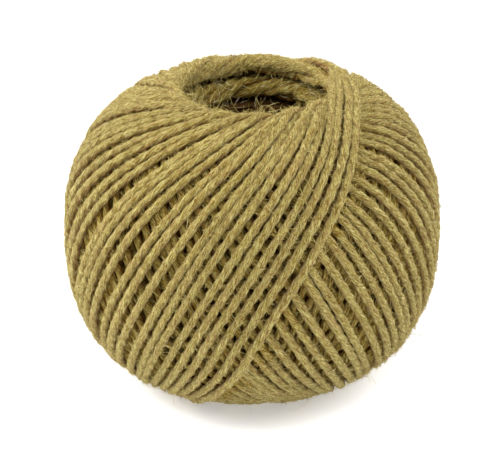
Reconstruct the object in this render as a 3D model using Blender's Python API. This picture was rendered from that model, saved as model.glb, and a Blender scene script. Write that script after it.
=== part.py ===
# Ball of jute twine, wound on a spindle that has been drawn out of it.
#
# Every turn goes once round the ball in a plane that leans over by LEAN, and each turn is
# laid a little further round the axis than the one before. So one half of the surface shows
# rising strands and the other half falling ones, and the last turn is the border between them.
# The ball stands with its axis upright, on a ring where its weight has pressed the strands flat.
# Metres, +Z up, origin on the axis at the level of that ring.

from math import asin, atan2, cos, pi, radians, sin, sqrt

import bmesh
import bpy
from mathutils import Vector

# The wound body: its outline is a squared-off ellipse turned round the axis
BODY_RADIUS = 0.0477
BODY_HALF_HEIGHT = 0.0418
BODY_SQUARENESS = 2.46
REST_LEVEL = -0.0387  # of the pressed ring, measured from the body's middle

# The twine and how it is laid
TWINE = 0.0024
TURNS = 72  # in one full passage round the axis
LEAN = radians(61.0)  # of a turn's plane from the level
LAST_TURN = radians(-80.0)  # where the last turn rises through the widest level
PASSAGE_GROWTH = 0.0026  # that one full passage adds to the radius
RIM_GROWTH = 0.3  # share of that growth left at the two mouths
LEVEL_PHASE = radians(100.0)  # a strand laid this long before the last lies on the outline
GROOVE = 0.42  # depth of the groove between two strands, in twine widths

# The mesh
ROW_STEP = radians(9.0)
LEAST_ROW = radians(3.5)  # a row nearer than this to a strand's start is left out
MOUTH_POINTS = 48

# The hollow from the top mouth to the middle of the bore, which the lower half mirrors.
# Each band of strands is a bulge, with a crease above it.
HOLLOW = (
    # (place, radius, height over the middle)
    ("crest of the rim", 0.0200, 0.0397),
    ("inside of the rim", 0.0180, 0.0381),
    ("first crease", 0.0177, 0.0351),
    ("second band", 0.0156, 0.0336),
    ("foot of the second band", 0.0146, 0.0306),
    ("second crease", 0.0149, 0.0286),
    ("third band", 0.0126, 0.0268),
    ("foot of the third band", 0.0112, 0.0222),
    ("bore", 0.0098, 0.0165),
    ("middle of the bore", 0.0095, 0.0),
)
PRESSED_PLACES = 2  # of the hollow's places that lie on the rest level at the bottom

JUTE_COLOUR = (0.40, 0.33, 0.12, 1.0)
JUTE_ROUGHNESS = 0.92
SHARP_EDGE = radians(30.0)  # so that the crests and grooves of the strands show

LINE_COUNT = 2 * TURNS  # a crest line and a groove line for each turn
LINE_STEP = 2.0 * pi / LINE_COUNT


def body_radius(latitude):
    """Distance from the middle to the outline at this latitude."""
    level = abs(cos(latitude)) / BODY_RADIUS
    upright = abs(sin(latitude)) / BODY_HALF_HEIGHT
    return (level**BODY_SQUARENESS + upright**BODY_SQUARENESS) ** (-1.0 / BODY_SQUARENESS)


def latitude_at(angle):
    """Latitude of a strand at this angle along its turn, 0 at the widest level."""
    return asin(sin(angle) * sin(LEAN))


def swing_at(angle):
    """How far round the axis a strand has come at this angle along its turn."""
    return atan2(sin(angle) * cos(LEAN), cos(angle))


def angle_for(swing):
    """The angle along a turn at which a strand has come this far round the axis."""
    return atan2(sin(swing), cos(swing) * cos(LEAN))


def growth(phase, latitude):
    """Height over the outline of a strand laid this phase before the last one."""
    near_mouth = (abs(sin(latitude)) / sin(LEAN)) ** 4
    share = 1.0 - (1.0 - RIM_GROWTH) * near_mouth
    return PASSAGE_GROWTH * share * (LEVEL_PHASE - phase) / (2.0 * pi)


def groove_depth(latitude):
    """Strands crowd together towards a mouth, which fills the grooves between them."""
    crowding = 1.0 - (cos(LEAN) / cos(latitude)) ** 2
    return GROOVE * TWINE * sqrt(max(crowding, 0.0)) / sin(LEAN)


def strand_point(phase, angle, lowered):
    """A point of the rising strand laid this phase before the last one."""
    latitude = latitude_at(angle)
    longitude = LAST_TURN - phase + swing_at(angle)
    radius = body_radius(latitude) + growth(phase, latitude) - lowered * groove_depth(latitude)
    return Vector(
        (
            radius * cos(latitude) * cos(longitude),
            radius * cos(latitude) * sin(longitude),
            radius * sin(latitude),
        )
    )


def half_surface():
    """Crest and groove lines of the rising strands, each from the last turn's edge to the rim.

    A strand comes out from under the falling half of the last turn and ends at the top mouth,
    so the lines get shorter, down to a single point beside the last turn's own top.
    """
    lines = []
    for index in range(LINE_COUNT):
        phase = index * LINE_STEP
        lowered = index % 2
        start = angle_for(-pi / 2 + (phase + LINE_STEP) / 2)
        if index == LINE_COUNT - 1:
            lines.append([strand_point(phase, pi / 2, 1.0)])
            continue
        line = [strand_point(phase, start, 1.0 + 0.5 * lowered)]
        row = -pi / 2 + ROW_STEP
        while row < pi / 2 - LEAST_ROW:
            if row > start + LEAST_ROW:
                line.append(strand_point(phase, row, lowered))
            row += ROW_STEP
        line.append(strand_point(phase, pi / 2, lowered))
        lines.append(line)
    return lines


def add_line(mesh, points, mirrored):
    """Vertices for a line of points, or for its image through the body's middle."""
    found = []
    for point in points:
        place = -point if mirrored else point
        height = max(place.z, REST_LEVEL)
        found.append(mesh.verts.new((place.x, place.y, height - REST_LEVEL)))
    return found


def zip_lines(mesh, first, second, flipped):
    """Triangles between two lines of vertices, always across the shorter diagonal."""
    i = 0
    j = 0
    while i < len(first) - 1 or j < len(second) - 1:
        step_first = j == len(second) - 1
        if i < len(first) - 1 and j < len(second) - 1:
            over_first = (first[i + 1].co - second[j].co).length
            over_second = (first[i].co - second[j + 1].co).length
            step_first = over_first < over_second
        if step_first:
            corners = (first[i], first[i + 1], second[j])
            i += 1
        else:
            corners = (first[i], second[j + 1], second[j])
            j += 1
        mesh.faces.new(corners[::-1] if flipped else corners)


def zip_rings(mesh, wide, narrow, flipped):
    """Triangles between a ring of vertices and one with a whole share of its count."""
    share = len(wide) // len(narrow)
    for index, vertex in enumerate(narrow):
        stretch = [wide[(index * share + k) % len(wide)] for k in range(share + 1)]
        following = narrow[(index + 1) % len(narrow)]
        zip_lines(mesh, stretch, [vertex, following], flipped)


def hollow_ring(mesh, radius, height, mirrored):
    """One ring of the hollow, in step with the rim, and risen with it near the mouth."""
    points = []
    for index in range(MOUTH_POINTS):
        phase = 2.0 * pi * index / MOUTH_POINTS
        longitude = LAST_TURN + pi / 2 - phase
        risen = growth(phase, LEAN) * max(0.0, height / HOLLOW[0][2]) ** 8
        points.append(Vector((radius * cos(longitude), radius * sin(longitude), height + risen)))
    return add_line(mesh, points, mirrored)


def build_ball():
    """The wound body with its ridged strands and the hollow through it, as one closed mesh."""
    mesh = bmesh.new()
    lines = half_surface()
    upper = [add_line(mesh, line, False) for line in lines]
    lower = [add_line(mesh, line, True) for line in lines]
    for half, flipped in ((upper, False), (lower, True)):
        for line, following in zip(half, half[1:]):
            zip_lines(mesh, line, following, flipped)

    # The last turn's rising half borders the starts of the falling strands, and the reverse
    top = upper[0][-1]
    bottom = lower[0][-1]
    upper_starts = [line[0] for line in upper]
    lower_starts = [line[0] for line in lower]
    zip_lines(mesh, lower_starts[::-1], [bottom] + upper[0], False)
    zip_lines(mesh, upper_starts[::-1], [top] + lower[0], True)

    # From each rim down the hollow to the ring at the middle of the bore, which they share
    middle = None
    for half, mirrored in ((upper, False), (lower, True)):
        ring = [line[-1] for line in half]
        for order, (place, radius, height) in enumerate(HOLLOW):
            if place == HOLLOW[-1][0] and middle:
                shift = MOUTH_POINTS // 2
                following = middle[shift:] + middle[:shift]
            else:
                following = hollow_ring(mesh, radius, height, mirrored)
            if mirrored and order < PRESSED_PLACES:
                for vertex in following:
                    vertex.co.z = 0.0
            zip_rings(mesh, ring, following, mirrored)
            ring = following
        middle = ring
    for line in lower:
        line[-1].co.z = 0.0
    bmesh.ops.recalc_face_normals(mesh, faces=mesh.faces)
    return mesh


def jute_material():
    material = bpy.data.materials.new("jute")
    material.use_nodes = True
    shader = material.node_tree.nodes["Principled BSDF"]
    shader.inputs["Base Color"].default_value = JUTE_COLOUR
    shader.inputs["Roughness"].default_value = JUTE_ROUGHNESS
    shader.inputs["Metallic"].default_value = 0.0
    return material


def main():
    for old in list(bpy.data.objects):
        bpy.data.objects.remove(old, do_unlink=True)
    parts = bpy.data.collections.new("ball_of_twine")
    bpy.context.scene.collection.children.link(parts)

    data = bpy.data.meshes.new("twine_ball")
    shape = build_ball()
    shape.to_mesh(data)
    shape.free()
    data.materials.append(jute_material())
    data.shade_smooth()
    data.set_sharp_from_angle(angle=SHARP_EDGE)
    ball = bpy.data.objects.new("twine_ball", data)
    parts.objects.link(ball)


main()
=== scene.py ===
from math import ceil, cos, pi, radians, sin, sqrt

import bpy
import numpy as np
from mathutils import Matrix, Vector


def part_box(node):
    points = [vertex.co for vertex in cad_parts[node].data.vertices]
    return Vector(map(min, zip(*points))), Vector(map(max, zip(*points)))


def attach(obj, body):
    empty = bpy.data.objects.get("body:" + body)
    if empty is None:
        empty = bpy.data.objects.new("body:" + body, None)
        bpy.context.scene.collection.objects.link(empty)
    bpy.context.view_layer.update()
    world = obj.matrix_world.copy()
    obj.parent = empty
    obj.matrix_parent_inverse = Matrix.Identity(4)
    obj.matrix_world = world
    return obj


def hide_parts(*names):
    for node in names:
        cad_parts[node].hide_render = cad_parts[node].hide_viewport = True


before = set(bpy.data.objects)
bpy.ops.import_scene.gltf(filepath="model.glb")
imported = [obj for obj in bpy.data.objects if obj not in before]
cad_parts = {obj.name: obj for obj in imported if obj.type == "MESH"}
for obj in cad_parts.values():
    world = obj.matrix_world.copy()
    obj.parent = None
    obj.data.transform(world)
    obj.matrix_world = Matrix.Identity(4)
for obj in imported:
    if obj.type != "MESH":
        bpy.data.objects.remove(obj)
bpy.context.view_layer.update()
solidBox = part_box("twine_ball")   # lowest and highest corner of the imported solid
scene = bpy.context.scene


def say(*words):
    print("ball of twine:", *words)


def bell(reach, width):
    # weights of a smooth average over this many samples to each side
    return np.exp(-0.5 * (np.arange(-reach, reach + 1) / width) ** 2)


def smoothNoise(rng, count, width):
    # an even random series whose bumps are about this many samples wide
    reach = int(3 * width)
    raw = rng.standard_normal(count + 2 * reach)
    series = np.convolve(raw, bell(reach, width), mode="valid")
    return series / max(series.std(), 1e-9)


def unit(vectors):
    # each vector at length 1
    return vectors / np.linalg.norm(vectors, axis=-1, keepdims=True)


def lengthAlong(points):
    # distance from the first point to each one, along the line through them
    return np.concatenate([[0], np.cumsum(np.linalg.norm(np.diff(points, axis=0), axis=1))])


def angleFromZero(angle):
    # the same angle between minus pi and pi
    return (angle + pi) % (2 * pi) - pi


ball = {
    "radius": solidBox[1][0],   # of the outline at the widest level
    "halfHeight": 0.0418,       # that the body's curve would have without a mouth
    "squareness": 2.46,         # 2 would be an ellipse
    "middle": 0.0387,           # height of the body's middle over the floor
    "shrink": 0.0029,           # a passage further in is this much narrower
    "sink": 0.0056,             # this much lower
    "close": 0.0029,            # and its mouth this much tighter
    # outline from the shoulder over the rim and down the inner wall, as radius and height
    "rim": [(0.0218, 0.0392), (0.0200, 0.0397), (0.0187, 0.0393), (0.0179, 0.0381),
            (0.0176, 0.0365), (0.0176, 0.0345), (0.0177, 0.0325), (0.0177, 0.0300)],
    "shoulder": 0.003,          # the body's curve ends this far outside the first of those
    "step": 0.0001,             # from one sample of the outline to the next
    "rounding": (24, 9.0),      # reach and width, in samples, of the bell that rounds its corners
}


def outline(passage):
    # the crest of a passage from the widest level up over its rim, and which way it faces
    a = ball["radius"] - ball["shrink"] * passage
    b = ball["halfHeight"] - ball["sink"] * passage
    n = ball["squareness"]
    rim = np.array(ball["rim"]) - np.array([ball["close"], ball["sink"]]) * passage
    lat = np.radians(np.linspace(0, 75, 400))   # past the shoulder, with samples enough for a smooth curve
    r = ((np.cos(lat) / a) ** n + (np.sin(lat) / b) ** n) ** (-1 / n)
    body = np.stack([r * np.cos(lat), r * np.sin(lat)], 1)
    body = body[body[:, 0] > rim[0, 0] + ball["shoulder"]]
    points = np.concatenate([body, rim])
    along = lengthAlong(points)
    s = np.arange(0, along[-1], ball["step"])
    path = np.stack([np.interp(s, along, points[:, k]) for k in (0, 1)], 1)
    # rounded, and mirrored below so that the widest level stays upright
    reach, width = ball["rounding"]
    weights = bell(reach, width)
    weights /= weights.sum()
    below = path[1:reach + 1][::-1] * [1, -1]
    above = path[-1] + (path[-1] - path[-reach - 1:-1][::-1])
    whole = np.concatenate([below, path, above])
    path = np.stack([np.convolve(whole[:, k], weights, mode="valid") for k in (0, 1)], 1)
    way = unit(np.gradient(path, axis=0))
    return {"s": s, "rho": path[:, 0], "z": path[:, 1], "nr": way[:, 1], "nz": -way[:, 0],
            "crest": int(np.argmax(path[:, 1])), "lat": np.arctan2(path[:, 1], path[:, 0])}


twine = {
    "width": 0.0024,
    "plies": 3,
    "plyDepth": 0.24,           # how deep the grooves between the plies cut into the radius
    "plyRoundness": 1.6,        # 1 would make them sharp
    "pitch": 0.0124,            # length of one full twist
    "firm": 0.96,               # how much of the width is strand rather than fuzz
    "flatten": 0.95,            # a strand is pressed a little flat on the ball
    "slub": 0.055,              # how much the thickness varies along the twine
    "slubLength": 30,           # and over how many samples of the path
    "taper": 0.3,               # thickness left at the ends of a stretch
}

winding = {
    "seeds": (11, 23, 37),      # of the last passage and the two before it
    "turns": 72,                # in one passage round the axis
    "samples": 420,             # of the path in each turn
    "lean": radians(61),        # of a turn's plane from the level
    "lastTurn": radians(-80),   # where the last turn rises through the widest level
    "innerSeam": radians(100),  # how far round from it the older passages' last turns lie
    "tail": 0.72,               # of a turn that is left over after the last whole one
    "tuck": 0.005,              # and a little more, where the end goes under
    # gaps from one strand to the next, in mean gaps: some are narrow, and the last ones are known
    "narrowShare": 0.42,
    "narrowGaps": (0.62, 0.76),
    "wideGaps": (0.85, 1.7),
    "lastGaps": [0.97, 1.03, 1.03, 0.98, 0.85, 0.98, 0.88],
    # how far past the rim's crest a strand runs before it turns back
    "overRim": (0.0022, 0.0058),
    "stretched": radians(36),   # latitude from which a turn is stretched to get there
    # the last turns have slipped outward: radius where each turns at the top, from the last one back
    "slipped": [0.0258, 0.0242, 0.0222, 0.0203],
    "shallow": [0.0008, 0.0012, 0.0015, 0.0018],   # and how far past the crest the next ones go
    # how far round the axis the last turn has shifted, by angle along the turn, and the ones before it less
    "shift": [(-40, 0.0), (-25, -0.018), (-15, -0.043), (0, -0.043), (14, -0.028), (22, -0.018),
              (30, 0.004), (38, 0.028), (52, 0.055), (62, 0.045), (78, 0.0)],
    "shifted": 7,               # turns that have shifted
    # pairs give the middle of the ball and its mouths
    "mouthPower": 4,            # how late the change to the mouth's value comes along a turn
    "spiral": (0.0026, 0.00078),   # what a passage adds to the outline's radius
    "levelPhase": radians(100),    # strands of this phase lie at the outline's own height
    "deepest": (0.0017, 0.0024),   # that a strand lies under the one that crosses it
    "nested": radians(24),      # strands much nearer in phase than this lie side by side
    "lift": (0.00010, 0.00016),    # how far a strand strays up or down
    "liftLength": 26,           # and over how many samples
    "wander": 0.00027,          # how far it strays sideways
    "wanderLengths": (34, 12),  # samples in its broad bends, and in the narrow ones, half as far
    "proud": 0.00060,           # how far the crests stand over the outline
    "settled": 7,               # samples to each side that share one height, since the twine is taut
    "crowded": (0.78, 0.97),    # sine of the angle along a turn where crowding starts, and is full
    "crowdedPower": 1.3,        # how late it comes between those
    "crowd": radians(9.5),      # of phase between strands that stay on top at a mouth
    "crowdSpread": (0.85, 1.15),
    "buried": 0.0010,           # how far the ones between them sink there
    "stagger": 0.0004,          # each of the last turns lies this much over the one before it
    "staggered": 5,             # turns that lie so
    "pressed": 0.0027,          # how far the slipped turns press down the strands that they cross
    "pressReach": 0.0031,       # how far to the side that is felt
    "pressFirm": 1.3,           # over 1 keeps the middle of it level
    "floorRoom": 0.45,          # least height of a strand's middle over the floor, in widths
}


def share(pair, nearMouth):
    # a value between the middle of the ball and its mouths
    return pair[0] + (pair[1] - pair[0]) * nearMouth


def spaceStrands(rng, outermost):
    # the gap in phase from each turn to the one wound before it
    turns = winding["turns"]
    narrow = rng.random(turns) < winding["narrowShare"]
    gaps = np.where(narrow, rng.uniform(*winding["narrowGaps"], turns),
                    rng.uniform(*winding["wideGaps"], turns))
    gaps *= turns / gaps.sum()
    if outermost:
        gaps[:len(winding["lastGaps"])] = winding["lastGaps"]
    return gaps * (2 * pi / gaps.sum())


def turnBacks(rng, shape, outermost):
    # arc length on the outline where each turn turns back, at the top and at the bottom
    upTo = shape["crest"]
    crest = shape["s"][upTo]
    turns = winding["turns"] + 2
    top = crest + rng.uniform(*winding["overRim"], turns)
    low = crest + rng.uniform(*winding["overRim"], turns)
    if outermost:
        slipped = len(winding["slipped"])
        top[:slipped] = np.interp(-np.array(winding["slipped"]), -shape["rho"][:upTo], shape["s"][:upTo])
        top[slipped:slipped + len(winding["shallow"])] = crest + np.array(winding["shallow"])
    return top, low


def placeOnTurn(shape, t, topTurn, lowTurn):
    # arc length on the outline for an angle along the turn, stretched so that it turns where it should
    lean, stretched = winding["lean"], winding["stretched"]
    lat = np.arcsin(np.sin(t) * sin(lean))
    upTo = shape["crest"]
    s = np.interp(np.abs(lat), shape["lat"][:upTo], shape["s"][:upTo])
    full = np.interp(lean, shape["lat"][:upTo], shape["s"][:upTo])
    near = np.clip((np.abs(lat) - stretched) / (lean - stretched), 0, 1) ** 2
    turn = np.where(lat > 0, topTurn, lowTurn)
    return np.sign(lat) * (s + (turn - full) * near)


def sinkBetween(rng, phases, outermost):
    # where the strands crowd, which ones sink between those on top: 0 stays up, 1 sinks in full
    sunk = np.ones(winding["turns"] + 2)
    last = -1.0
    for k, phase in enumerate(phases):
        if phase - last >= winding["crowd"] * rng.uniform(*winding["crowdSpread"]):
            sunk[k], last = 0.0, phase
    if outermost:
        sunk[:winding["staggered"]] = np.arange(winding["staggered"]) * winding["stagger"] / winding["buried"]
    return sunk


def pressUnder(under, t, s, rho, lon, whichTurn):
    # what the slipped turns cross at the top is pressed down under them
    slipped = len(winding["slipped"])
    high = np.sin(t) > 0.5   # in the upper third of a turn
    below = np.flatnonzero((whichTurn > slipped) & high)
    for k in range(slipped):
        over = np.flatnonzero((whichTurn == k) & high)
        across = angleFromZero(lon[below][:, None] - lon[over])
        apart = np.hypot(s[below][:, None] - s[over], across * rho[below][:, None]).min(1)
        felt = np.clip(winding["pressFirm"] - (apart / winding["pressReach"]) ** 2, 0, 1)
        under[below] = np.maximum(under[below], winding["pressed"] * felt)


def windPassage(passage, seed):
    # one continuous strand, with its path, which way is out, and how deep it lies under later turns
    rng = np.random.default_rng(seed)
    shape = outline(passage)
    outermost = passage == 0
    turns, tail = winding["turns"], winding["tail"]
    end = tail + winding["tuck"]
    gaps = spaceStrands(rng, outermost)
    t = np.linspace(-turns * 2 * pi, end * 2 * pi, int((turns + tail) * winding["samples"]))
    turnAt = -t / (2 * pi)
    lag = tail * 2 * pi / turns
    phases = lag + np.concatenate([[0], np.cumsum(gaps)])
    phase = np.interp(turnAt, np.concatenate([[-end], np.arange(turns + 1)]), np.concatenate([[0.0], phases]))

    topTurns, lowTurns = turnBacks(rng, shape, outermost)
    topIndex = np.clip(np.round(turnAt + 0.25).astype(int), 0, turns + 1)   # the top is a quarter turn on
    lowIndex = np.clip(np.round(turnAt - 0.25).astype(int), 0, turns + 1)
    s = placeOnTurn(shape, t, topTurns[topIndex], lowTurns[lowIndex])
    swing = np.arctan2(np.sin(t) * cos(winding["lean"]), np.cos(t))
    rising = np.cos(t) >= 0
    sweep = np.where(rising, swing, angleFromZero(pi - swing))

    # the phase of the strand that crosses at the same place tells which of the two is on top
    apart = pi - 2 * sweep
    other = np.where(rising, phase + apart, phase - apart) % (2 * pi)
    own = np.minimum(phase, 2 * pi - 1e-6)   # under a whole round, as the other one's is
    top = np.minimum(own, other)
    steep = np.abs(np.sin(t))
    nearMouth = steep ** winding["mouthPower"]
    layer = share(winding["deepest"], nearMouth) * (1 - np.exp(-(own - top) / winding["nested"]))
    sunk = sinkBetween(rng, phases, outermost)
    start, full = winding["crowded"]
    crowded = np.clip((steep - start) / (full - start), 0, 1) ** winding["crowdedPower"]
    under = layer + winding["buried"] * crowded * sunk[np.where(np.sin(t) > 0, topIndex, lowIndex)]

    count = len(t)
    broad, narrow = winding["wanderLengths"]
    stray = winding["wander"] * (smoothNoise(rng, count, broad) + 0.5 * smoothNoise(rng, count, narrow))
    rho, z, nr, nz = (np.interp(np.abs(s), shape["s"], shape[key]) for key in ("rho", "z", "nr", "nz"))
    seam = winding["lastTurn"] - (0 if outermost else winding["innerSeam"])
    lon = seam + lag - phase + swing + stray / rho
    if outermost:
        loose = np.clip(1 - topIndex / winding["shifted"], 0, 1) * (t < 0.5 * pi)   # up to the last top
        lon += np.interp(np.degrees(angleFromZero(t)), *np.array(winding["shift"]).T) * loose
        pressUnder(under, t, s, rho, lon, topIndex)
    level = share(winding["spiral"], nearMouth) * (winding["levelPhase"] - top) / (2 * pi) - under
    settled = winding["settled"]
    even = np.ones(2 * settled + 1) / (2 * settled + 1)
    level = np.convolve(np.pad(level, settled, mode="edge"), even, mode="valid")
    lift = share(winding["lift"], nearMouth) * smoothNoise(rng, count, winding["liftLength"])
    down = twine["width"] / 2 - (level + winding["proud"] + lift)

    # out of the outline's plane into space, with the floor under it
    side = np.sign(s)
    rho, z, nz = rho - nr * down, (z - nz * down) * side, nz * side
    z = np.maximum(z, winding["floorRoom"] * twine["width"] - ball["middle"]) + ball["middle"]
    centre = np.stack([rho * np.cos(lon), rho * np.sin(lon), z], 1)
    normal = np.stack([nr * np.cos(lon), nr * np.sin(lon), nz], 1)
    along = lengthAlong(centre)
    say("passage", passage + 1, "from outside has", round(float(along[-1]), 2), "m of twine")
    return {"centre": centre, "normal": normal, "along": along, "under": layer, "t": t % (2 * pi), "rng": rng}


def runsOf(mask, grow, shortest=8):
    # stretches of samples where the mask holds, a little longer at both ends
    edges = np.flatnonzero(np.diff(np.concatenate([[0], mask.astype(int), [0]])))
    found = []
    for first, last in zip(edges[::2], edges[1::2]):
        first, last = max(0, first - grow), min(len(mask), last + grow)
        if last - first > shortest:
            found.append((first, last))
    return found


def quadSpan(i, j):
    # rows and columns of the four corners of each face between two rows
    return np.stack([i, i, i + 1, i + 1], -1), np.stack([j, j + 1, j + 1, j], -1)


def makeObject(name, verts, corners, sizes, maps):
    verts[:, 2] = np.maximum(verts[:, 2], 0.0)   # pressed flat where it stands
    mesh = bpy.data.meshes.new(name)
    mesh.vertices.add(len(verts))
    mesh.vertices.foreach_set("co", np.ascontiguousarray(verts, dtype=np.float32).ravel())
    mesh.loops.add(len(corners))
    mesh.loops.foreach_set("vertex_index", corners.astype(np.int32))
    mesh.polygons.add(len(sizes))
    starts = np.concatenate([[0], np.cumsum(sizes)[:-1]]).astype(np.int32)
    mesh.polygons.foreach_set("loop_start", starts)
    mesh.update(calc_edges=True)
    for title, values in maps.items():
        layer = mesh.uv_layers.new(name=title)
        layer.uv.foreach_set("vector", np.ascontiguousarray(values, dtype=np.float32).ravel())
    mesh.shade_smooth()
    piece = bpy.data.objects.new(name, mesh)
    scene.collection.objects.link(piece)
    say(name, "has", int((sizes - 2).sum()), "triangles")
    return piece


def twistedRings(path, first, last, s, size, turn):
    # rings of points round one stretch of a strand, with its plies twisted along it
    along = path["along"][first:last]
    centre, up = (np.stack([np.interp(s, along, path[key][first:last, k]) for k in range(3)], 1)
                  for key in ("centre", "normal"))
    ahead = unit(np.gradient(centre, axis=0))
    up = unit(up - (up * ahead).sum(1)[:, None] * ahead)
    across = np.cross(ahead, up)
    lobes = 1 - twine["plyDepth"] * np.abs(np.sin(turn * twine["plies"] / 2)) ** twine["plyRoundness"]
    r = lobes[None, :] * size[:, None]
    angle = turn[None, :] - s[:, None] / twine["pitch"] * 2 * pi
    return (centre[:, None] + (r * np.cos(angle))[..., None] * up[:, None] * twine["flatten"]
            + (r * np.sin(angle))[..., None] * across[:, None] / sqrt(twine["flatten"]))


strandMap = {
    # the map for the bake has a strip for each stretch of a strand, in metres
    "girth": 0.0075,            # height of a strip, which is the way round the strand
    "margin": 0.0012,           # kept free over a strip, and twice at each end of it
    "spare": 1.03,              # room for what is left over at the ends of the rows
    "leastSide": 0.16,          # of the whole map
    "cap": (0.9, 0.4),          # place and radius of a strand's end in the margin, in margins
}


def strandMesh(name, path, runs, around, step):
    # a twisted tube with closed ends along each run
    verts, faceCorners, faceSizes, twineUv, bakeUv = [], [], [], [], []
    turn = np.arange(around) / around * 2 * pi
    slub = 1 + twine["slub"] * smoothNoise(path["rng"], len(path["along"]), twine["slubLength"])
    slub *= twine["width"] / 2 * twine["firm"]
    strips = []
    for first, last in runs:
        along = path["along"][first:last]
        count = max(4, int(round((along[-1] - along[0]) / step)) + 1)
        strips.append((first, last, np.linspace(along[0], along[-1], count)))
    girth, margin = strandMap["girth"], strandMap["margin"]
    capAt, capSize = (value * margin for value in strandMap["cap"])
    longest = sum(s[-1] - s[0] + 4 * margin for _, _, s in strips)
    side = max(sqrt(longest * (girth + margin)) * strandMap["spare"], strandMap["leastSide"])
    x = y = 0.0
    base = 0
    for first, last, s in strips:
        size = np.interp(s, path["along"][first:last], slub[first:last])
        size[[0, -1]] *= twine["taper"]
        verts.append(twistedRings(path, first, last, s, size, turn).reshape(-1, 3))
        rows, length = len(s), s[-1] - s[0]
        u, v = quadSpan(*np.meshgrid(np.arange(rows - 1), np.arange(around), indexing="ij"))
        faceCorners.append((base + u * around + v % around).reshape(-1))
        faceSizes.append(np.full((rows - 1) * around, 4))
        if x + length + 4 * margin > side and x > 0:
            x, y = 0.0, y + girth + margin
        twineUv.append(np.stack([s[u], v / around], -1).reshape(-1, 2))
        bakeUv.append(np.stack([x + 2 * margin + s[u] - s[0], y + v / around * girth], -1).reshape(-1, 2))
        for end, order, place in ((0, np.arange(around)[::-1], capAt),
                                  (rows - 1, np.arange(around), length + 4 * margin - capAt)):
            faceCorners.append(base + end * around + order)
            faceSizes.append(np.array([around]))
            twineUv.append(np.stack([np.full(around, s[end]), order / around], -1))
            bakeUv.append(np.stack([x + place + capSize * np.cos(turn[order]),
                                    y + girth / 2 + capSize * np.sin(turn[order])], -1))
        base += rows * around
        x += length + 4 * margin
    side = max(side, y + girth + margin)
    return makeObject(name, np.concatenate(verts), np.concatenate(faceCorners), np.concatenate(faceSizes),
                      {"twine": np.concatenate(twineUv), "OFBake": np.concatenate(bakeUv) / side})


class Wire:
    # a socket in a shader, so that shader maths reads as an expression
    def __init__(self, tree, socket=None):
        self.tree, self.socket = tree, socket

    def node(self, kind, settings, sockets, output=0):
        made = self.tree.nodes.new(kind)
        for key, value in settings.items():
            if key == "stops":
                ramp = made.color_ramp
                while len(ramp.elements) < len(value):
                    ramp.elements.new(0.5)
                for element, (place, colour) in zip(ramp.elements, value):
                    element.position, element.color = place, (*colour, 1.0)
            else:
                setattr(made, key, value)
        for key, value in sockets.items():
            if isinstance(value, Wire):
                self.tree.links.new(value.socket, made.inputs[key])
            else:
                made.inputs[key].default_value = value
        return Wire(self.tree, made.outputs[output])

    def math(self, operation, *values):
        return self.node("ShaderNodeMath", {"operation": operation}, dict(enumerate(values)))

    def mixed(self, kind, factor, colour):
        # this colour with another one mixed or multiplied in
        return self.node("ShaderNodeMix", {"data_type": "RGBA", "blend_type": kind},
                         {0: factor, 6: self, 7: (*colour, 1.0)}, 2)

    def output(self, index):
        return Wire(self.tree, self.socket.node.outputs[index])

    def __add__(self, other):
        return self.math("ADD", self, other)

    def __sub__(self, other):
        return self.math("SUBTRACT", self, other)

    def __rsub__(self, other):
        return self.math("SUBTRACT", other, self)

    def __mul__(self, other):
        return self.math("MULTIPLY", self, other)

    __radd__, __rmul__ = __add__, __mul__


def newMaterial(name, plain, drawn=None):
    # a material with plain values on its shader, and what drawn gives for the sockets that vary
    material = bpy.data.materials.new(name)
    material.use_nodes = True
    tree = material.node_tree
    shader = tree.nodes["Principled BSDF"]
    for key, value in plain.items():
        shader.inputs[key].default_value = value
    if drawn:
        for key, wire in drawn(Wire(tree)).items():
            tree.links.new(wire.socket, shader.inputs[key])
    return material


juteLook = {
    # from the dark between two fibres to a bleached one
    "fibre": [(0.20, (0.145, 0.061, 0.005)), (0.37, (0.224, 0.133, 0.014)), (0.50, (0.304, 0.231, 0.043)),
              (0.62, (0.436, 0.365, 0.088)), (0.80, (0.665, 0.595, 0.252))],
    "contrast": 2.55,                # of single fibres
    "patchiness": 0.38,              # of broader patches
    "darker": 0.965,                 # how far both are moved to the dark end
    "tan": (0.440, 0.245, 0.100),    # warmer fibres among the olive ones
    "tanShare": 0.5,
    "tanWhere": (0.52, 0.66),        # of the noise where they start, and are full
    "gap": (0.76, 0.49, 0.36),       # painted shade: what a strand's sides, down between its neighbours, are dimmed by
    "gapShadeWhere": (0.55, -0.30),       # how far a side faces outward where that painted shade starts, and is full
    "fibresAround": 32.0,
    "fibreLength": 0.0014,
    "fibreLean": -34.0,              # turns round the strand for each metre along it
    "patch": (0.25, 160.0),          # changes round the strand against the fibres', and for each metre along
    "drift": (0.7, 55.0, 7.0),       # the same for the tan, and how far its noise is moved along
    "roughness": 0.93,
    "shine": 0.1,
    "sheen": 0.34,
    "sheenTint": (1.0, 0.91, 0.56),
    "bump": 1.0,
    "bumpDepth": 0.0006,
    "innerShine": 0.05,              # for the older layers, which have no sheen
    # painted shade: what each older layer is multiplied by, deeper ones darker
    "paintedShades": {"jute top": None, "jute inner": (0.90, 0.84, 0.76), "jute band": (0.64, 0.63, 0.60),
             "jute deep": (0.29, 0.23, 0.20), "jute hollow": (0.17, 0.11, 0.10)},
}


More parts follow.
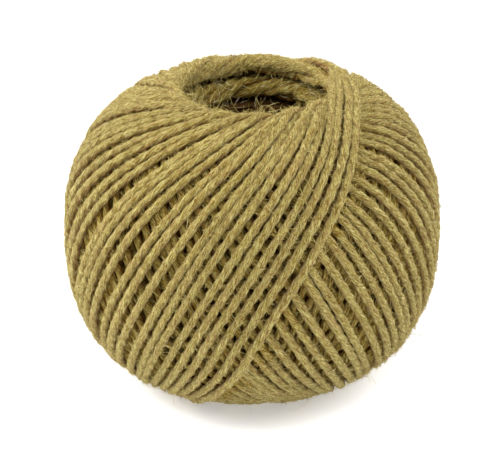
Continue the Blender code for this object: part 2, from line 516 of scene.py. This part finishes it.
def juteMaterial(name, paintedShade):
    # fibres that run along the strand, in olive, straw and tan
    look = juteLook

    def draw(start):
        place = start.node("ShaderNodeUVMap", {"uv_map": "twine"}, {})
        along = start.node("ShaderNodeSeparateXYZ", {}, {0: place})
        around = along.output(1)
        # the way round the strand is bent into a circle, so that the noise has no seam
        turn = (around + along * look["fibreLean"]) * (2 * pi)
        radius = look["fibresAround"] / (2 * pi)
        x, y = start.math("COSINE", turn) * radius, start.math("SINE", turn) * radius
        place = start.node("ShaderNodeCombineXYZ", {}, {0: x, 1: y, 2: along * (1 / look["fibreLength"])})
        fibres = start.node("ShaderNodeTexNoise", {}, {"Vector": place, "Scale": 1.0, "Detail": 4.0,
                                                       "Roughness": 0.66, "Distortion": 0.6})
        size, often = look["patch"]
        place = start.node("ShaderNodeCombineXYZ", {}, {0: x * size, 1: y * size, 2: along * often})
        patches = start.node("ShaderNodeTexNoise", {}, {"Vector": place, "Scale": 1.0, "Detail": 2.0})
        tone = fibres * look["contrast"] + patches * look["patchiness"] - look["darker"]
        colour = start.node("ShaderNodeValToRGB", {"stops": look["fibre"]}, {0: tone})
        size, often, moved = look["drift"]
        place = start.node("ShaderNodeCombineXYZ", {}, {0: x * size, 1: y * size, 2: along * often + moved})
        warm = start.node("ShaderNodeTexNoise", {}, {"Vector": place, "Scale": 1.0, "Detail": 3.0})
        first, full = look["tanWhere"]
        amount = start.node("ShaderNodeMapRange", {}, {0: warm, 1: first, 2: full, 3: 0.0,
                                                       4: look["tanShare"]})
        colour = colour.mixed("MIX", amount, look["tan"])
        # painted shade: a strand's sides that face down between its neighbours are darkened and reddened
        facing = start.math("COSINE", (around - along * (1 / twine["pitch"])) * (2 * pi))
        first, full = look["gapShadeWhere"]
        sides = start.node("ShaderNodeMapRange", {}, {0: facing, 1: first, 2: full, 3: 0.0, 4: 1.0})
        colour = colour.mixed("MULTIPLY", sides, look["gap"])
        # painted shade on the older layers, which lie deeper in the ball
        if paintedShade:
            colour = colour.mixed("MULTIPLY", 1.0, paintedShade)
        bump = start.node("ShaderNodeBump", {}, {"Strength": look["bump"], "Distance": look["bumpDepth"],
                                                 "Height": fibres})
        return {"Base Color": colour, "Normal": bump}

    return newMaterial(name, {"Roughness": look["roughness"],
                              "Specular IOR Level": look["innerShine"] if paintedShade else look["shine"],
                              "Sheen Weight": 0.0 if paintedShade else look["sheen"], "Sheen Roughness": 0.5,
                              "Sheen Tint": (*look["sheenTint"], 1.0)}, draw)


def finishPiece(piece, material):
    piece.data.materials.clear()
    piece.data.materials.append(material)
    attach(piece, "root")


strandPieces = {
    # samples that each stretch is longer at both ends, sides of the tube, and length of one step
    "strands_upper": (6, 12, 0.00085),
    "strands_lower": (6, 12, 0.0010),
    "strands_under": (6, 9, 0.0016),
    "band_second_top": (2, 12, 0.0011),
    "band_second_low": (2, 9, 0.0018),
    "strands_inner": (3, 7, 0.0026),
    "band_third_top": (2, 9, 0.0015),
    "band_third_low": (2, 7, 0.0024),
}
layers = {
    "seen": 0.0012,   # a strand less deep than this is in the outermost pieces
    # how far a band reaches along a turn, from the turn's top and from its bottom
    "second": (radians(42), radians(38)),
    "third": (radians(36), radians(34)),
}


def buildStrands(name, path, where, material):
    grow, sides, step = strandPieces[name]
    piece = strandMesh(name, path, runsOf(where, grow), sides, step)
    finishPiece(piece, material)
    return piece


def mouths(path, reaches):
    # which samples are near the top of a turn, and which near its bottom
    return (np.abs(path["t"] - pi / 2) < reaches[0], np.abs(path["t"] - 3 * pi / 2) < reaches[1])


def buildOutside(path, jute):
    # the last passage, in halves, and where it runs under its own later turns
    seen = path["under"] < layers["seen"]
    upperHalf = np.sin(path["t"]) > 0
    upper = buildStrands("strands_upper", path, seen & upperHalf, jute["jute top"])
    buildStrands("strands_lower", path, seen & ~upperHalf, jute["jute top"])
    buildStrands("strands_under", path, ~seen, jute["jute inner"])
    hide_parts("twine_ball")


def buildOlder(second, third, jute):
    # the two passages before it: their rims are bands in the mouths, and the second shows through gaps
    top, low = mouths(second, layers["second"])
    buildStrands("band_second_top", second, top, jute["jute band"])
    buildStrands("band_second_low", second, low, jute["jute band"])
    buildStrands("strands_inner", second, ~top & ~low, jute["jute inner"])
    top, low = mouths(third, layers["third"])
    buildStrands("band_third_top", third, top, jute["jute hollow"])
    buildStrands("band_third_low", third, low, jute["jute hollow"])


fuzz = {
    "seed": 5,
    # count, segments, thickness, and least and greatest length of the fibres that stand off the strands
    "sorts": {
        "fine": (32000, 1, 0.00012, (0.0006, 0.0019)),
        "short": (6200, 2, 0.00012, (0.0010, 0.0030)),
        "long": (620, 5, 0.00012, (0.0040, 0.0100)),
        "hollow": (420, 5, 0.00010, (0.0030, 0.0060)),
        "inside": (190, 5, 0.00009, (0.0035, 0.0080)),
        "deep": (130, 5, 0.00010, (0.0035, 0.0075)),
    },
    # outside they leave only strands this little covered and this high over the floor
    "uncovered": 0.0006,
    "high": 0.006,
    # in the upper mouth they leave the part of a turn where its angle has at least this sine
    "atRim": 0.93,
    "onBand": 0.96,
    "deepDown": (0.93, 0.0085),      # here also no further left or right of the ball's middle than this
    "root": 0.42,                    # from the strand's middle, in widths
    "around": 1.25,                  # how far round from the top of the strand, in radians
    # directions at the root, against each other
    "forward": (0.25, 1.4),
    "outward": (0.15, 0.9),
    "sideways": 0.7,
    "curl": 0.42,
    "droop": (0.0, 0.75),
    "curlStart": 0.7,                # share of the curl after the first segment
    "curlMore": 0.3,                 # and what each further segment adds
    "floorRoom": 0.0002,
    "thickness": (0.6, 1.25),        # of what the sort has
    "tip": 0.5,                      # how thick it would still be at the tip
    # ramp from brown over straw to bleached, and how much paler the fibres in the hollow are
    "colours": [(0.28, (0.14, 0.080, 0.018)), (0.45, (0.42, 0.315, 0.075)), (0.60, (0.63, 0.53, 0.17)),
                (0.75, (0.82, 0.72, 0.34)), (0.90, (0.88, 0.72, 0.52))],
    "paler": 0.25,
    "toneStep": 0.37,                # from one fibre to the next in the noise that picks its colour
    "toneSort": 0.11,                # and from one sort to the next
    # each fibre has a square of the bake's map: corner and size of its sides there, and its butt
    "corner": (0.10, 0.15),
    "size": (0.66, 0.70),
    "butt": [(0.84, 0.2), (0.90, 0.2), (0.87, 0.3)],
}


def growFibres(rng, path, roots, sort):
    # points along each fibre, which leaves the strand along its run and curls, and rings round them
    count, segments, thick, lengths = sort
    centre, final = path["centre"], len(path["centre"]) - 1

    def pick(limits):
        # one value for each fibre
        return rng.uniform(*limits, count)[:, None]

    along = unit(centre[np.minimum(roots + 2, final)] - centre[np.maximum(roots - 2, 0)])
    up = path["normal"][roots]
    across = unit(np.cross(along, up))
    side = pick((-fuzz["around"], fuzz["around"]))
    out = up * np.cos(side) + across * np.sin(side)
    way = along * rng.choice([-1, 1], count)[:, None] * pick(fuzz["forward"])
    way = way + out * pick(fuzz["outward"]) + across * rng.normal(0, fuzz["sideways"], count)[:, None]
    curl = rng.normal(0, 1.0, (count, 3)) * fuzz["curl"] - out * pick(fuzz["droop"])
    step = pick(lengths) / segments
    points = [centre[roots] + out * twine["width"] * fuzz["root"]]
    for k in range(segments):
        way = unit(way)
        points.append(points[-1] + way * step)
        way = way + curl * (fuzz["curlStart"] + fuzz["curlMore"] * k)
    points = np.stack(points, 1)
    points[..., 2] = np.maximum(points[..., 2], fuzz["floorRoom"])
    ahead = unit(np.gradient(points, axis=1))
    first = unit(np.cross(ahead, rng.normal(0, 1, (count, 1, 3))))
    other = np.cross(ahead, first)
    width = thick * pick(fuzz["thickness"]) * np.linspace(1.0, fuzz["tip"], segments + 1)
    corner = (np.arange(3) / 3 * 2 * pi)[:, None]
    outward = np.cos(corner) * first[:, :, None] + np.sin(corner) * other[:, :, None]
    return points, points[:, :, None] + width[..., None, None] / 2 * outward


def fuzzMesh(name, path, sorts, rng):
    # thin three-sided fibres with pointed tips
    verts, corners, sizes, tone, bake = [], [], [], [], []
    base = 0
    for order, (roots, sort) in enumerate(sorts):
        count, segments = sort[:2]
        points, rings = growFibres(rng, path, roots, sort)
        # rings for all but the last point, which is the tip
        each = segments * 3 + 1
        verts.append(np.concatenate([rings[:, :-1].reshape(count, -1, 3), points[:, -1:]], 1).reshape(-1, 3))
        fibre, i, j = np.meshgrid(np.arange(count), np.arange(segments), np.arange(3), indexing="ij")
        u, v = quadSpan(i, j)
        faces = base + fibre[..., None] * each + u * 3 + v % 3
        span = np.stack([u / segments, v / 3], -1)
        tips, tipSpan = faces[:, -1, :, :3].copy(), span[:, -1, :, :3].copy()
        tips[..., 2] = base + (fibre[:, -1] + 1) * each - 1
        tipSpan[..., 2, 1] = (j[:, -1] + 0.5) / 3
        cells = ceil(sqrt(count))
        cell = np.stack([np.arange(count) % cells, np.arange(count) // cells], -1)
        for part, place in ((faces[:, :-1], span[:, :-1]), (tips, tipSpan)):
            one = [count] + [1] * (part.ndim - 1)
            spot = cell.reshape(one + [2]) + fuzz["corner"] + place * fuzz["size"]
            bake.append((spot.reshape(-1, 2) / cells + [order, 0]) / len(sorts))
            hue = np.arange(count).reshape(one) * fuzz["toneStep"] + order * fuzz["toneSort"]
            tone.append(np.stack([np.broadcast_to(hue, part.shape), place[..., 0]], -1).reshape(-1, 2))
            corners.append(part.reshape(-1))
            sizes.append(np.full(part[..., 0].size, part.shape[-1]))
        spot = cell[:, None] + np.array(fuzz["butt"])
        bake.append((spot.reshape(-1, 2) / cells + [order, 0]) / len(sorts))
        tone.append(np.stack([np.repeat(np.arange(count) * fuzz["toneStep"], 3), np.zeros(3 * count)], -1))
        corners.append((base + np.arange(count)[:, None] * each + [2, 1, 0]).reshape(-1))
        sizes.append(np.full(count, 3))
        base += count * each
    return makeObject(name, np.concatenate(verts), np.concatenate(corners), np.concatenate(sizes),
                      {"twine": np.concatenate(tone), "OFBake": np.concatenate(bake)})


def fuzzMaterial(name, paler):
    # one colour for most of a fibre, from brown to bleached
    def draw(start):
        place = start.node("ShaderNodeUVMap", {"uv_map": "twine"}, {})
        noise = start.node("ShaderNodeTexNoise", {"noise_dimensions": "2D"},
                           {"Vector": place, "Scale": 2.3, "Detail": 1.0})
        colour = start.node("ShaderNodeValToRGB", {"stops": fuzz["colours"]}, {0: noise + paler})
        return {"Base Color": colour}

    return newMaterial(name, {"Roughness": 0.7, "Specular IOR Level": 0.3}, draw)


def buildFuzz(outer, second, third):
    # the last passage is furred all over, and the older ones only where a mouth shows them
    rng = np.random.default_rng(fuzz["seed"])
    onTop = np.flatnonzero((outer["under"] < fuzz["uncovered"]) & (outer["centre"][:, 2] > fuzz["high"]))
    atRim = onTop[np.sin(outer["t"][onTop]) > fuzz["atRim"]]
    onBand = np.flatnonzero(np.sin(second["t"]) > fuzz["onBand"])
    steep, near = fuzz["deepDown"]
    deepDown = np.flatnonzero((np.sin(third["t"]) > steep) & (np.abs(third["centre"][:, 0]) < near))
    roots = {"fine": onTop, "short": onTop, "long": onTop,
             "hollow": atRim, "inside": onBand, "deep": deepDown}
    straw, bleached = fuzzMaterial("jute fuzz", 0.0), fuzzMaterial("jute fuzz pale", fuzz["paler"])
    for name, path, kinds, material in (("fuzz_fine", outer, ["fine"], straw),
                                        ("fuzz_curled", outer, ["short", "long", "hollow"], straw),
                                        ("fuzz_inside", second, ["inside"], bleached),
                                        ("fuzz_deep", third, ["deep"], bleached)):
        sorts = [(rng.choice(roots[kind], fuzz["sorts"][kind][0]), fuzz["sorts"][kind]) for kind in kinds]
        finishPiece(fuzzMesh(name, path, sorts, rng), material)


core = {
    # closed outline inside the strands, as radius and height over the ball's middle
    "outline": [(0.0425, 0.0), (0.0420, 0.010), (0.0395, 0.021), (0.0340, 0.030), (0.0265, 0.0345),
                (0.0215, 0.0340), (0.0205, 0.0300), (0.0185, 0.0260), (0.0150, 0.0220), (0.0120, 0.0170),
                (0.0105, 0.0110), (0.0100, 0.0)],
    "step": 0.0016,             # from row to row along that outline
    "around": 120,
    "ridge": 0.0004,            # height of the ridges, which stand for the strands
    "ridges": 24,               # that climb round the core
    "ridgeRise": 0.0042,        # from one ridge to the next along the outline
    "floorRoom": 0.0015,
    "fibres": (0.28, 20),       # metres of twine that the map has round the core, and strands along it
}


def buildCore(material):
    # what shows through the deepest gaps: older strands as one ridged skin with the bore in it
    half = np.array(core["outline"])
    ring = np.concatenate([half, half[1:-1][::-1] * [1, -1], half[:1]])
    fine = []
    for a, b in zip(ring, ring[1:]):
        steps = max(2, int(np.linalg.norm(b - a) / core["step"]))
        fine += [a + (b - a) * k / steps for k in range(steps)]
    ring = np.array(fine)
    rows, around = len(ring), core["around"]
    lon = np.arange(around) / around * 2 * pi
    climb = lengthAlong(ring)[:, None] / core["ridgeRise"] * 2 * pi
    wave = core["ridge"] * np.sin(core["ridges"] * lon[None, :] + climb)
    rho = ring[:, :1] + wave
    z = np.maximum(ring[:, 1:] + 0 * wave, core["floorRoom"] - ball["middle"]) + ball["middle"]
    verts = np.stack([rho * np.cos(lon), rho * np.sin(lon), z], -1).reshape(-1, 3)
    u, v = quadSpan(*np.meshgrid(np.arange(rows), np.arange(around), indexing="ij"))
    corners = (u % rows * around + v % around).reshape(-1)
    place = np.stack([u / rows, v / around], -1).reshape(-1, 2)
    maps = {"twine": place[:, ::-1] * core["fibres"], "OFBake": place}
    finishPiece(makeObject("core", verts, corners, np.full(rows * around, 4), maps), material)


studio = {
    "floor": (0.90, 0.91, 0.94),
    "floorReach": 3.0,
    "glow": 0.36,               # of the floor, which is as bright as a lit sweep
    "world": 0.36,
    # power, place and width of a large light overhead and one at each side
    "lights": {"key": (10.4, (-0.14, -0.40, 1.00), 1.3), "left": (13.0, (-0.80, 0.12, 0.60), 0.7),
               "right": (8.5, (0.80, 0.15, 0.60), 0.7)},
    "elevation": radians(24.9),
    "distance": 0.748,
    "aim": (-0.00060, -0.00095),   # from the ball's middle, right and up in the picture
    "lens": 210.0,
    "sensor": 36.0,
}
white = (1.0, 1.0, 1.0, 1.0)


def addToScene(name, data):
    made = bpy.data.objects.new(name, data)
    scene.collection.objects.link(made)
    return made


def buildFloor():
    mesh = bpy.data.meshes.new("floor")
    far = studio["floorReach"]
    mesh.from_pydata([(-far, -far, 0), (far, -far, 0), (far, far, 0), (-far, far, 0)], [], [(0, 1, 2, 3)])
    paper = {"Base Color": (*studio["floor"], 1.0), "Roughness": 0.9,
             "Emission Color": white, "Emission Strength": studio["glow"]}
    mesh.materials.append(newMaterial("floor", paper))
    addToScene("floor", mesh)


def buildLights(middle):
    world = bpy.data.worlds.new("studio")
    scene.world = world
    world.use_nodes = True
    background = world.node_tree.nodes["Background"]
    background.inputs["Color"].default_value = white
    background.inputs["Strength"].default_value = studio["world"]
    for name, (power, place, width) in studio["lights"].items():
        light = bpy.data.lights.new(name, "AREA")
        light.energy, light.size, light.shape = power, width, "SQUARE"
        lamp = addToScene(name, light)
        lamp.location = place
        lamp.rotation_euler = (middle - lamp.location).to_track_quat("-Z", "Y").to_euler()


def buildCamera(middle):
    camera = bpy.data.cameras.new("camera")
    camera.lens, camera.sensor_width, camera.clip_start = studio["lens"], studio["sensor"], 0.01
    eye = addToScene("camera", camera)
    tilt = studio["elevation"]
    right, upward = studio["aim"]
    aim = middle + Vector((right, 0, 0)) + Vector((0, sin(tilt), cos(tilt))) * upward
    eye.location = aim + Vector((0, -cos(tilt), sin(tilt))) * studio["distance"]
    eye.rotation_euler = (pi / 2 - tilt, 0, 0)
    scene.camera = eye
    scene.view_settings.view_transform = "Standard"
    scene.view_settings.look = "None"


# the top jute, and copies of it darkened by painted shade for the deeper layers, the hollow and the core
jute = {name: juteMaterial(name, paintedShade) for name, paintedShade in juteLook["paintedShades"].items()}
say("jute in", len(jute), "finishes")
outer, second, third = (windPassage(passage, seed) for passage, seed in enumerate(winding["seeds"]))
buildOutside(outer, jute)
buildOlder(second, third, jute)
buildFuzz(outer, second, third)
# the core's jute is darkened by painted shade
buildCore(jute["jute deep"])
say("floor, lights and camera")
buildFloor()
buildLights(Vector((0, 0, ball["middle"])))
buildCamera(Vector((0, 0, ball["middle"])))

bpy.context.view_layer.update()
say("sizes written")
